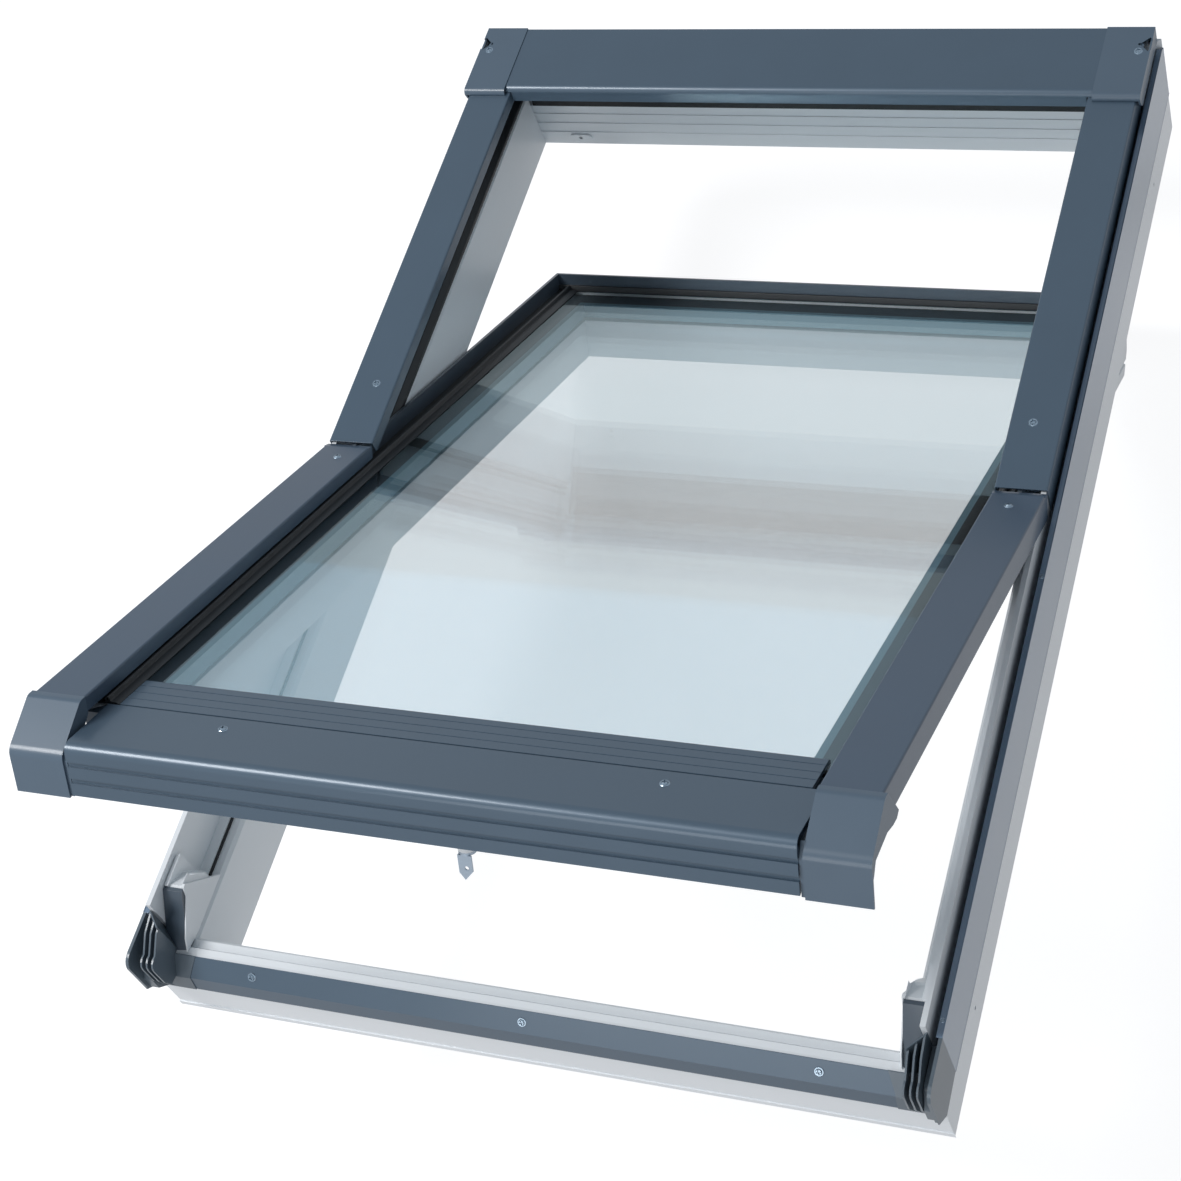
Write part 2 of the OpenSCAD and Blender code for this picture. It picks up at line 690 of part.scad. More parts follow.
// Frame half of the hinge: a plate with a half-round track, on a foot against the upstand
module hinge_track() {
    foot_x = x_up_in;
    color(zinc) difference() {
        union() {
            intersection() {
                translate([track_x, 0, 0]) rotate([0, 90, 0]) cylinder(r = track_r + track_w / 2 + 6, h = hinge_t, $fn = 96);
                block([track_x, -90, -ledge_high + 3], [track_x + hinge_t, 90, -6]);
            }
            block([track_x + hinge_t - eps, -track_screw_y - 8, -track_screw_depth - 8],
                  [foot_x - eps, track_screw_y + 8, -track_screw_depth + 8]);
        }
        track_sector(track_x - 1, track_x + hinge_t - 1, track_r - track_w / 2, track_r + track_w / 2, -180, 0);
        at_track_screws(1) screw_hole(track_shank + 2);
    }
}
module hinge_track_left() { at_pivot() on_side(-1) hinge_track(); }
module hinge_track_right() { at_pivot() on_side(1) hinge_track(); }

// Sash half of the hinge: a plate let into the stile, with a curved shoe in the track
shoe_plate_t = 2.5;
module hinge_shoe_plate(grow = 0) {
    block([sash_x - shoe_plate_t - grow, -50 - grow, -ledge_high], [sash_x + grow, 62 + grow, -rim_depth - 0.5]);
}
module hinge_shoe() {
    color(zinc) union() {
        hinge_shoe_plate();
        track_sector(sash_x - 1, track_x + hinge_t - 1.5, track_r - track_w / 2 + track_clear,
                     track_r + track_w / 2 - track_clear, shoe_start - shoe_half_angle, shoe_start + shoe_half_angle);
    }
}
module hinge_shoe_left() { on_sash() on_side(-1) hinge_shoe(); }
module hinge_shoe_right() { on_sash() on_side(1) hinge_shoe(); }

lock_y = y_low_in + lock_back;
keeper_z = z_back + 4;

// Keeper on the bottom rail's inner face, where the tongue catches
module keeper() {
    at_pivot() color(zinc) difference() {
        union() {
            block([-22, y_low_in, keeper_z], [22, y_low_in + 2, keeper_z + 26]);
            block([-14, y_low_in, keeper_z + 8], [14, y_low_in + 5, keeper_z + 10.5]);
        }
        block([-5, y_low_in + 2, keeper_z + 7], [5, y_low_in + 9, keeper_z + 12]);
    }
}

// Bush in the top rail's inner face for the bolt that holds the turned sash
module top_bolt_bush() {
    at_pivot() color(white) translate([-300, y_high_in, z_back + 12]) rotate([90, 0, 0]) difference() {
        union() {
            translate([0, 0, -7.9]) cylinder(r = 4, h = 8);
            for (dx = [-9, 9]) translate([dx, 0, 0]) cylinder(r = 5, h = 2.5);
            translate([-9, -5, 0]) cube([18, 10, 2.5]);
        }
        translate([0, 0, -7]) cylinder(r = 2.2, h = 12);
    }
}

// Round case under the middle of the sash, with a lobe on one side
module lock_case() {
    on_sash() color(white) difference() {
        translate([0, lock_y, -sash_depth]) union() {
            rotate_extrude($fn = 64) polygon([[0, -26], [10, -26], [13, -24.5], [15.5, -21], [lock_r - 2, -8],
                                              [lock_r, -3], [lock_r, 0], [0, 0]]);
        }
        translate([0, lock_y, -sash_depth - 40]) cylinder(r = spindle_r + spindle_clear, h = 41);
    }
}

module lock_spindle() {
    on_sash() color(zinc) translate([0, lock_y, -sash_depth - 34]) cylinder(r = spindle_r, h = 34);
}

// Lever on the spindle, under the case
module handle_lever() {
    on_sash() color(white) translate([0, lock_y, -sash_depth - 34]) difference() {
        union() {
            cylinder(r1 = 8, r2 = 10, h = 7.5);
            translate([-6, 0, 1]) cube([12, 78, 5]);
            translate([0, 78, 1]) cylinder(r = 6, h = 5);
        }
        translate([0, 0, -1]) cylinder(r = spindle_r + spindle_clear, h = 9);
    }
}

tongue_w = 13;
tongue_len = 27;
// Pressed tongue on the spindle's end, with a folded edge, a hole and a pointed tip
module latch_tongue() {
    on_sash() color(zinc) translate([0, lock_y, -sash_depth - 34]) {
        translate([0, 0, -2.5]) cylinder(r = 8, h = 2.5);
        difference() {
            union() {
                translate([0, -6, 0]) rotate([90, 0, 0]) translate([-tongue_w / 2, -tongue_len, 0]) linear_extrude(1.6)
                    polygon([[0, tongue_len], [0, 7], [5, 0], [tongue_w, 9], [tongue_w, tongue_len]]);
                translate([-tongue_w / 2, -7.6, -tongue_len + 9]) cube([1.6, 5, tongue_len - 9]);
            }
            translate([1, 0, -tongue_len + 12]) rotate([90, 0, 0]) cylinder(r = 2, h = 20);
            translate([-20, -20, -2.5]) cube([40, 40, 20]);
        }
    }
}

// -------------------------------------------------------------- the sash

// Section of a stile in (x, z)
module stile_section() {
    difference() {
        polygon([[sash_x_in, -sash_depth], [sash_x, -sash_depth], [sash_x, shelf_z],
                 [glass_x + 1, shelf_z], [glass_x + 1, -glass_back], [sash_x_in, -glass_back]]);
        for (u = [sash_x_in + 5, sash_x_in + 5 + (stile_w - 14) / 2 + 3])
            translate([u, -sash_depth + 5]) square([(stile_w - 14) / 2 - 2, sash_depth - glass_back - 14]);
        translate([sash_x - 2, -sash_depth + 12]) square([3, 4]);
    }
}

module sash_stile() {
    color(white) difference() {
        intersection() {
            along_y(sash_y_low, sash_y_high) stile_section();
            plan(-sash_depth - 1, 0, [[sash_x_in, sash_y_low_in], [sash_x, sash_y_low], [sash_x, sash_y_high],
                                      [sash_x_in, sash_y_high_in]]);
        }
        hinge_shoe_plate(eps);
        back_chamfer();
    }
}

// The sash's upper back edge is cut off, so that it clears the bottom rail when turned right over
module back_chamfer() {
    along_x(-sash_x - 1, sash_x + 1)
        polygon([[sash_y_high - 15, -sash_depth - 1], [sash_y_high + 1, -sash_depth - 1],
                 [sash_y_high + 1, -sash_depth + 27]]);
}
module sash_stile_left() { on_sash() on_side(-1) sash_stile(); }
module sash_stile_right() { on_sash() on_side(1) sash_stile(); }

module sash_top_rail() {
    on_sash() color(white) difference() {
        intersection() {
            along_x(-sash_x, sash_x) difference() {
                polygon([[sash_y_high_in, -sash_depth], [sash_y_high, -sash_depth], [sash_y_high, shelf_z],
                         [glass_y_high + 1, shelf_z], [glass_y_high + 1, -glass_back],
                         [sash_y_high_in, -glass_back]]);
                translate([sash_y_high_in + 5, -sash_depth + 6]) square([sash_top_w - 24, sash_depth - glass_back - 15]);
            }
            plan(-sash_depth - 1, 0, [[-sash_x_in, sash_y_high_in], [sash_x_in, sash_y_high_in],
                                      [sash_x, sash_y_high], [-sash_x, sash_y_high]]);
        }
        back_chamfer();
    }
}

// Dark rim around the sides and the top of the sash, standing on the stiles and the top rail
module sash_rim() {
    on_sash() color(slate) difference() {
        block([-sash_x, sash_y_low, shelf_z], [sash_x, sash_y_high, -rim_depth]);
        block([-sash_x + rim_t, sash_y_low - 1, shelf_z - 1], [sash_x - rim_t, sash_y_high - rim_t, 0]);
        for (s = [-1, 1]) on_side(s) hinge_shoe_plate(eps);
    }
}

// The bottom rail has a nose that reaches out over the frame, under the cap
module sash_bottom_rail() {
    nose_z = -52;
    nose_y = cap_front + cap_wall;
    on_sash() color(white) difference() {
        union() {
            intersection() {
                along_x(-sash_x, sash_x) difference() {
                    polygon([[sash_y_low_in, -sash_depth], [sash_y_low_in, -glass_back],
                             [glass_y_low - 1, -glass_back], [glass_y_low - 1, -glass_depth - 2],
                             [sash_y_low, -glass_depth - 2], [sash_y_low, -sash_depth]]);
                    for (u = [0, 1]) translate([sash_y_low + 5 + u * (sash_low_w - 12) / 2, -sash_depth + 6])
                        square([(sash_low_w - 20) / 2, sash_depth - glass_back - 15]);
                }
                plan(-sash_depth - 1, 0, [[-sash_x_in, sash_y_low_in], [sash_x_in, sash_y_low_in],
                                          [sash_x, sash_y_low], [-sash_x, sash_y_low]]);
            }
            along_x(-cover_in + 4, cover_in - 4) difference() {
                polygon([[sash_y_low + eps, -glass_depth - 2], [sash_y_low + eps, nose_z], [nose_y, nose_z],
                         [nose_y, -cap_depth - 18], [nose_y + 12, -glass_depth - 2]]);
                translate([nose_y + 5, nose_z + 4]) square([sash_y_low - nose_y - 10, -nose_z - glass_depth - 16]);
            }
        }
        at_cap_screws() screw_hole(14);
    }
}

// Outline of the sealed unit in plan
module pane(z_top, t, inset = 0) {
    block([-glass_x + inset, glass_y_low + inset, -z_top - t], [glass_x - inset, glass_y_high - inset, -z_top]);
}

module outer_pane() { on_sash() color(glass) pane(glass_depth, pane_t); }
module inner_pane() { on_sash() color(glass) pane(pane2_depth, pane_t); }

// A rectangular ring in the cavity, from the sash's inner edge outwards
module cavity_ring(inner, outer_x, outer_low, outer_high) {
    z0 = -pane2_depth;
    z1 = -glass_depth - pane_t;
    difference() {
        block([-outer_x, outer_low, z0], [outer_x, outer_high, z1]);
        block([-sash_x_in - inner, sash_y_low_in - inner, z0 - 1], [sash_x_in + inner, sash_y_high_in + inner, z1 + 1]);
    }
}

module spacer_bar() {
    on_sash() color(plastic_grey)
        cavity_ring(0, sash_x_in + spacer_w, sash_y_low_in - spacer_w, sash_y_high_in + spacer_w);
}

module edge_seal() {
    on_sash() color(rubber) cavity_ring(spacer_w, glass_x - 1, glass_y_low + 1, glass_y_high - 1);
}

// Section of the glazing gasket in (u, z), u counted from its glass-side edge outwards
module gasket_section(w) {
    z0 = -glass_depth;
    difference() {
        polygon(concat([[0, z0 + eps], [0, z0 + 0.8], [3, z0 + 2.2], [8, z0 + 2.8], [9, z0 + 4.5]],
                       arc([11.4, z0 + 5], 2.4, 150, 0, 6), [[13.8, z0 + 2], [w, z0 + 1.4], [w, z0 + eps]]));
        translate([11.4, z0 + 4.6]) circle(r = 1.1, $fn = 24);
    }
}

gasket_w = sash_x - rim_t - gasket_x_in;
module side_gasket() {
    color(rubber) along_y(strip_y_high - 42, gasket_y_high + 2)
        translate([gasket_x_in, 0]) intersection() {
            gasket_section(gasket_w);
            translate([0, -glass_depth + eps]) square([gasket_w - 0.1, 12]);
        }
}
module side_gasket_left() { on_sash() on_side(-1) side_gasket(); }
module side_gasket_right() { on_sash() on_side(1) side_gasket(); }

module top_gasket() {
    y_in = gasket_y_high;
    w = sash_y_high - rim_t - y_in;
    on_sash() color(rubber) along_x(-gasket_x_in - gasket_w + 0.2, gasket_x_in + gasket_w - 0.2) polygon([
        [y_in + 2.2, -glass_depth + eps], [y_in + 2.2, -glass_depth + 2], [y_in + w - 3, -glass_depth + 7],
        [y_in + w - 0.1, -glass_depth + 7], [y_in + w - 0.1, -glass_depth + eps]]);
}

sash_cover_low = y_low + 30.5;
lip_end = 2;
// Lower cover, with a short lip bent down at the pivot line
module sash_cover() {
    color(navy) difference() {
        union() {
            along_y(sash_cover_low, -9) cover_section(sash_skirt);
            along_x(cover_in, cover_out) polygon([[-9 - eps, 0], [-9, 0], [0, -lip_end + 0.4], [-1, -lip_end - 0.6],
                                                  [-9.5, -cover_t], [-9 - eps, -cover_t]]);
            along_x(cover_out - cover_t, cover_out)
                polygon([[-9 - eps, 0], [0, -lip_end + 0.4], [-1, -sash_skirt + 3], [-3, -sash_skirt], [-9 - eps, -sash_skirt]]);
            along_x(cover_in, cover_in + cover_t)
                polygon([[-9 - eps, 0], [0, -lip_end + 0.4], [-1, -skirt_in + 1], [-2, -skirt_in], [-9 - eps, -skirt_in]]);
        }
        translate([cover_screw_x, sash_screw_y, 0]) screw_hole(6);
    }
}
module sash_cover_left() { on_sash() on_side(-1) sash_cover(); }
module sash_cover_right() { on_sash() on_side(1) sash_cover(); }

// Clips that carry the lower covers on the stiles' outer rims
module sash_cover_clips() {
    on_sash() color(plastic_grey)
        for (s = [-1, 1]) on_side(s)
            for (y = [sash_screw_y, -200, -340, sash_cover_low + 60]) difference() {
                block([cover_in + cover_t + 2, y - 12, -rim_depth - 6], [cover_out - 8, y + 12, -cover_t]);
                block([sash_x + 0.1, y - 13, -rim_depth - 7], [cover_out, y + 13, -rim_depth - 0.5]);
                block([sash_x - rim_t, y - 13, -rim_depth - 7], [sash_x + 0.2, y + 13, -rim_depth]);
                translate([cover_screw_x, sash_screw_y, 0]) screw_hole(20);
            }
}

// Ribbed strip over the glass's lower edge
module glazing_strip() {
    z0 = -glass_depth;
    z1 = -cap_depth;
    y0 = cap_screw_y + 20;
    y1 = strip_y_high;
    n = 3;
    on_sash() color(navy) along_x(-gasket_x_in + 4, gasket_x_in - 4) difference() {
        polygon([[y0, z0 + eps], [y0, z1], [y1 - 3, z1], [y1, z1 - 1.5], [y1, z0 + eps]]);
        for (i = [1:n]) translate([y0 + (y1 - y0) * i / (n + 1) - 0.4, z1 - 0.7]) square([0.8, 1]);
    }
}

// Cap over the sash's nose: flat top, rounded edge and a grooved front
module sash_cap() {
    t = 1.6;
    f = cap_wall;
    r = 9;
    on_sash() color(navy) difference() {
        along_x(-cover_in + 4, cover_in - 4) difference() {
            polygon(concat([[cap_screw_y + 18, -cap_depth - t], [cap_screw_y + 18, -cap_depth]],
                           arc([cap_front + r, -cap_depth - r], r, 90, 180, 6), [[cap_front, -cap_low_depth]],
                           [[cap_front + t, -cap_low_depth], [cap_front + f, -cap_low_depth + 3]],
                           [[cap_front + f, -cap_depth - r - 2]],
                           arc([cap_front + r, -cap_depth - r], r - t, 150, 90, 5)));
            for (z = [37, 53]) translate([cap_front - 1, -z - 4.7]) square([3.2, 4.7]);
        }
        at_cap_screws() screw_hole(6);
    }
}

// Outside outline of the sash corner cap in (y, z), down to a given depth
function corner_outline(o, low) = concat(
    [[sash_cover_low, -o]], arc([y_low + 26, -9], 9 - o, 90, 125, 3),
    arc([cap_front + 12, -38], 12 - o, 125, 180, 4), [[cap_front + o, -low]]);

// Cap on the sash's lower corner: a shell that turns down over the front, with an ear
// outside the cover's skirt and a narrow flange beside the front cap
module corner_cap() {
    wall = 2;
    out_x = x_out - 6.5;
    low = corner_front_low;
    color(navy) union() {
        along_x(cover_in, out_x) difference() {
            polygon(concat(corner_outline(0, low), [[sash_cover_low, -low]]));
            polygon(concat(corner_outline(wall, low + 1), [[sash_cover_low + 1, -low - 1],
                                                           [sash_cover_low + 1, -wall]]));
        }
        along_x(out_x - wall, out_x) polygon(concat(corner_outline(0, 50), [[cap_front + 4, -46],
            [cap_front + 10, -36], [y_low + 24, -31], [y_low + 40, -sash_skirt - 7],
            [y_low + 50, -sash_skirt - 7], [y_low + 56, -sash_skirt - 3]]));
        along_x(cover_in, cover_in + wall) polygon(concat(corner_outline(0, low),
            [[cap_front + wall, -low], [cap_front + 8, -54], [sash_cover_low, -skirt_in - 2]]));
        along_x(cover_in - 3.5, cover_in + eps) polygon([[cap_front + 8, -cap_depth - 5], [cap_front + 2, -38],
            [cap_front + 2, -low + 1], [cap_front + 4, -low + 1], [cap_front + 4, -38], [cap_front + 9.5, -cap_depth - 6]]);
    }
}
module corner_cap_left() { on_sash() on_side(-1) corner_cap(); }
module corner_cap_right() { on_sash() on_side(1) corner_cap(); }

// ---------------------------------------------------------------- screws

module cover_screws() { at_pivot() color(slate) at_cover_screws() screw(6); }
module cladding_screws() { at_pivot() color(slate) at_cladding_screws() screw(10); }
module hood_screws() {
    at_pivot() color(slate)
        for (s = [-1, 1]) translate([s * (hood_cap_in + hood_cap_w - 12), hood_screw_y, hood_rise + 1]) screw(10);
}
module track_screws() { at_pivot() color(zinc) for (s = [-1, 1]) at_track_screws(s) screw(track_shank); }
module sash_screws() {
    on_sash() color(slate) {
        at_sash_cover_screws() screw(6);
        at_cap_screws() screw(10);
    }
}

// ---------------------------------------------------------------- output

frame_rail_left();
frame_rail_right();
frame_rail_top();
frame_rail_bottom();
side_cladding_left();
side_cladding_right();
bottom_cladding();
upper_seal();
ledge_seal();
upper_cover_left();
upper_cover_right();
frame_cover_clips();
hood();
hood_cap_left();
hood_cap_right();
corner_baffle_left();
corner_baffle_right();
ramp_block_left();
ramp_block_right();
guide_left();
guide_right();
hinge_track_left();
hinge_track_right();
keeper();
top_bolt_bush();
cover_screws();
cladding_screws();
hood_screws();
track_screws();
sash_stile_left();
sash_stile_right();
sash_top_rail();
sash_bottom_rail();
sash_rim();
outer_pane();
inner_pane();
spacer_bar();
edge_seal();
side_gasket_left();
side_gasket_right();
top_gasket();
sash_cover_left();
sash_cover_right();
sash_cover_clips();
glazing_strip();
sash_cap();
corner_cap_left();
corner_cap_right();
hinge_shoe_left();
hinge_shoe_right();
sash_screws();
lock_case();
lock_spindle();
handle_lever();
latch_tongue();
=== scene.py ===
"""Looks of the centre-pivot roof window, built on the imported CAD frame.

Each sub-assembly has its own class, with its sizes in a dataclass. Finishes
are frozen dataclasses that make procedural materials from shared shader
groups. Repeated details come from Geometry Nodes with named inputs.
"""

from __future__ import annotations

import json
import logging
import math
from dataclasses import dataclass
from enum import Enum

import bmesh
import bpy
from mathutils import Matrix, Vector

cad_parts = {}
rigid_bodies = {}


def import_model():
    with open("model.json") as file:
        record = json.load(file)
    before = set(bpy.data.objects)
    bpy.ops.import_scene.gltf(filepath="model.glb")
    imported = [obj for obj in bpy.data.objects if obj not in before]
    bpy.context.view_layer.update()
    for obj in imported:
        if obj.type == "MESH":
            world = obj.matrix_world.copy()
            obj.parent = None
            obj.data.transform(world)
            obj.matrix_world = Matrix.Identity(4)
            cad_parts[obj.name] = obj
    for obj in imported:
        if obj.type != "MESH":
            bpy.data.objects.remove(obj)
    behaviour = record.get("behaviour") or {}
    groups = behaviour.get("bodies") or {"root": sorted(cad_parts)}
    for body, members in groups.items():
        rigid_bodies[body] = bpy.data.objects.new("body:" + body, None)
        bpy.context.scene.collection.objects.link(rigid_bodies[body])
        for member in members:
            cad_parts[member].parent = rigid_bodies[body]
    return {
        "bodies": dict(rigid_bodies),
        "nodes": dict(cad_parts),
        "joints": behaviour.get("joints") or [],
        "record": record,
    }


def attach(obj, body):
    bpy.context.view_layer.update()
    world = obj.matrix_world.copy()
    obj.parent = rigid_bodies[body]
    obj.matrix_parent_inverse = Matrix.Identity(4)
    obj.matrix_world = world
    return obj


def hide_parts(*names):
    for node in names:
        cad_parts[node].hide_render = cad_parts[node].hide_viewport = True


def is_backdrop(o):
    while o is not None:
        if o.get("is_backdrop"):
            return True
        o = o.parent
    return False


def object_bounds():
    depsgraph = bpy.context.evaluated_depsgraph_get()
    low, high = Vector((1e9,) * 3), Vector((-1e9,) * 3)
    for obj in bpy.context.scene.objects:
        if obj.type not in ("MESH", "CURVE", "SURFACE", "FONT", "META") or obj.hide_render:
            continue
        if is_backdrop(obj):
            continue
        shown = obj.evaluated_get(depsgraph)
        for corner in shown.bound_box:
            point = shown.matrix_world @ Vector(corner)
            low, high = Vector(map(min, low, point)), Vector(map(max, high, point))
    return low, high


LOG = logging.getLogger("roof_window")
MM = 0.001
Point = tuple[float, float, float]
Colour = tuple[float, float, float]


class Grain(Enum):
    """How a finish varies over its surface."""

    PAINT = "paint"
    MOULDED = "moulded"
    BRUSHED = "brushed"


# --------------------------------------------------------------------------
# Placement
# --------------------------------------------------------------------------


@dataclass(frozen=True)
class Layout:
    """Places in the row frame that the CAD fixes, in metres and degrees."""

    pivot: Point = (0.0, -0.010, 0.1475)
    open_angle: float = 30.4

    def frame_matrix(self) -> Matrix:
        """Matrix from pivot-relative millimetres of the fixed frame to the row frame."""
        return Matrix.Translation(self.pivot) @ Matrix.Scale(MM, 4)

    def sash_matrix(self) -> Matrix:
        """Matrix from the closed sash's pivot-relative millimetres to the row frame."""
        turn = Matrix.Rotation(math.radians(-self.open_angle), 4, "X")
        return Matrix.Translation(self.pivot) @ turn @ Matrix.Scale(MM, 4)


LAYOUT = Layout()


def srgb(red: float, green: float, blue: float) -> Colour:
    """Linear colour from 0-255 display values.

    Args:
        red: Red, 0 to 255.
        green: Green, 0 to 255.
        blue: Blue, 0 to 255.

    Returns:
        The linear RGB colour.
    """

    def lin(v: float) -> float:
        v /= 255.0
        return v / 12.92 if v <= 0.04045 else ((v + 0.055) / 1.055) ** 2.4

    return lin(red), lin(green), lin(blue)


# --------------------------------------------------------------------------
# Shader groups
# --------------------------------------------------------------------------


class ShaderGroups:
    """Makes each shared shader group once and hands it out."""

    def __init__(self) -> None:
        self._made: dict[str, bpy.types.NodeTree] = {}

    def _new(self, name: str, inputs: dict[str, float], outputs: list[tuple[str, str]]) -> bpy.types.NodeTree:
        tree = bpy.data.node_groups.new(name, "ShaderNodeTree")
        for key, value in inputs.items():
            item = tree.interface.new_socket(key, in_out="INPUT", socket_type="NodeSocketFloat")
            item.default_value = value
        for key, kind in outputs:
            tree.interface.new_socket(key, in_out="OUTPUT", socket_type=kind)
        return tree

    def mottle(self) -> bpy.types.NodeTree:
        """Group giving a roughness and a height that vary softly over the surface."""
        if "mottle" in self._made:
            return self._made["mottle"]
        tree = self._new(
            "soft_mottle",
            {"Scale": 18.0, "Low": 0.3, "High": 0.4, "Fine": 900.0},
            [("Roughness", "NodeSocketFloat"), ("Height", "NodeSocketFloat"), ("Tone", "NodeSocketFloat")],
        )
        n, link = tree.nodes, tree.links.new
        gin, out = n.new("NodeGroupInput"), n.new("NodeGroupOutput")
        coord = n.new("ShaderNodeTexCoord")
        broad, fine = n.new("ShaderNodeTexNoise"), n.new("ShaderNodeTexNoise")
        broad.inputs["Detail"].default_value = 3.0
        fine.inputs["Detail"].default_value = 1.0
        ramp = n.new("ShaderNodeMapRange")
        link(coord.outputs["Object"], broad.inputs["Vector"])
        link(coord.outputs["Object"], fine.inputs["Vector"])
        link(gin.outputs["Scale"], broad.inputs["Scale"])
        link(gin.outputs["Fine"], fine.inputs["Scale"])
        link(broad.outputs["Fac"], ramp.inputs["Value"])
        link(gin.outputs["Low"], ramp.inputs["To Min"])
        link(gin.outputs["High"], ramp.inputs["To Max"])
        link(ramp.outputs["Result"], out.inputs["Roughness"])
        link(fine.outputs["Fac"], out.inputs["Height"])
        link(broad.outputs["Fac"], out.inputs["Tone"])
        self._made["mottle"] = tree
        return tree

    def brushed(self) -> bpy.types.NodeTree:
        """Group giving streaks along X for drawn or rolled metal."""
        if "brushed" in self._made:
            return self._made["brushed"]
        tree = self._new(
            "brushed_streaks",
            {"Scale": 300.0, "Low": 0.28, "High": 0.45},
            [("Roughness", "NodeSocketFloat"), ("Height", "NodeSocketFloat"), ("Tone", "NodeSocketFloat")],
        )
        n, link = tree.nodes, tree.links.new
        gin, out = n.new("NodeGroupInput"), n.new("NodeGroupOutput")
        coord, mapping = n.new("ShaderNodeTexCoord"), n.new("ShaderNodeMapping")
        mapping.inputs["Scale"].default_value = (0.05, 1.0, 1.0)
        noise, ramp = n.new("ShaderNodeTexNoise"), n.new("ShaderNodeMapRange")
        link(coord.outputs["Object"], mapping.inputs["Vector"])
        link(mapping.outputs["Vector"], noise.inputs["Vector"])
        link(gin.outputs["Scale"], noise.inputs["Scale"])
        link(noise.outputs["Fac"], ramp.inputs["Value"])
        link(gin.outputs["Low"], ramp.inputs["To Min"])
        link(gin.outputs["High"], ramp.inputs["To Max"])
        link(ramp.outputs["Result"], out.inputs["Roughness"])
        link(noise.outputs["Fac"], out.inputs["Height"])
        link(noise.outputs["Fac"], out.inputs["Tone"])
        self._made["brushed"] = tree
        return tree


GROUPS = ShaderGroups()
BUMP_DISTANCE = 0.4 * MM


# --------------------------------------------------------------------------
# Finishes
# --------------------------------------------------------------------------


@dataclass(frozen=True)
class Finish:
    """One procedural surface finish."""

    name: str
    colour: Colour
    metallic: float = 0.0
    rough: tuple[float, float] = (0.35, 0.45)
    coat: float = 0.0
    coat_rough: float = 0.15
    specular: float = 0.5
    bump: float = 0.0
    grain: Grain = Grain.PAINT
    fine: float = 900.0
    tone: float = 0.05

    def material(self) -> bpy.types.Material:
        """The finish's material, made on first use."""
        found = bpy.data.materials.get(self.name + "_finish")
        if found:
            return found
        mat = bpy.data.materials.new(self.name + "_finish")
        mat.use_nodes = True
        tree = mat.node_tree
        shader = tree.nodes["Principled BSDF"]
        shader.inputs["Base Color"].default_value = (*self.colour, 1.0)
        shader.inputs["Metallic"].default_value = self.metallic
        shader.inputs["Coat Weight"].default_value = self.coat
        shader.inputs["Coat Roughness"].default_value = self.coat_rough
        shader.inputs["Specular IOR Level"].default_value = self.specular
        group = tree.nodes.new("ShaderNodeGroup")
        group.node_tree = GROUPS.brushed() if self.grain is Grain.BRUSHED else GROUPS.mottle()
        group.inputs["Low"].default_value = self.rough[0]
        group.inputs["High"].default_value = self.rough[1]
        tree.links.new(group.outputs["Roughness"], shader.inputs["Roughness"])
        if self.grain is not Grain.BRUSHED:
            group.inputs["Fine"].default_value = self.fine
        shade = tree.nodes.new("ShaderNodeMix")
        shade.data_type = "RGBA"
        for socket, factor in (("A", 1.0 - self.tone), ("B", 1.0 + self.tone)):
            colour = [min(1.0, c * factor) for c in self.colour]
            next(i for i in shade.inputs if i.name == socket and i.type == "RGBA").default_value = (*colour, 1.0)
        tree.links.new(group.outputs["Tone"], shade.inputs["Factor"])
        result = next(o for o in shade.outputs if o.type == "RGBA")
        tree.links.new(result, shader.inputs["Base Color"])
        if self.bump > 0.0:
            bump = tree.nodes.new("ShaderNodeBump")
            bump.inputs["Strength"].default_value = self.bump
            bump.inputs["Distance"].default_value = BUMP_DISTANCE
            tree.links.new(group.outputs["Height"], bump.inputs["Height"])
            tree.links.new(bump.outputs["Normal"], shader.inputs["Normal"])
        return mat


@dataclass(frozen=True)
class GlassFinish:
    """Thin coated glass: each face lets most light through and mirrors the rest, tinted."""

    name: str
    tint: Colour
    cover: float
    mirror: float = 1.0
    rough: float = 0.02

    def material(self) -> bpy.types.Material:
        """The pane's material, made on first use."""
        found = bpy.data.materials.get(self.name + "_finish")
        if found:
            return found
        mat = bpy.data.materials.new(self.name + "_finish")
        mat.use_nodes = True
        shader = mat.node_tree.nodes["Principled BSDF"]
        shader.inputs["Base Color"].default_value = (*self.tint, 1.0)
        shader.inputs["Metallic"].default_value = self.mirror
        shader.inputs["Roughness"].default_value = self.rough
        shader.inputs["IOR"].default_value = 1.45
        shader.inputs["Alpha"].default_value = self.cover
        return mat


WHITE = Finish(
    "white_plastic", srgb(233, 236, 239), rough=(0.28, 0.34), coat=0.2, bump=0.015, tone=0.015,
    grain=Grain.MOULDED,
)
PAINT = Finish(
    "slate_blue_paint", srgb(72, 90, 106), metallic=0.2, rough=(0.36, 0.42), coat=0.35,
    bump=0.03,
)
# Painted shade: the slate-blue cover paint darkened a little for the tilted sash cover, which is the same paint
# as the upper covers.
SASH_PAINT_PAINTED_SHADE = Finish(
    "slate_paint_painted_shade", srgb(66, 84, 103), metallic=0.2, rough=(0.36, 0.42), coat=0.35, bump=0.03,
)
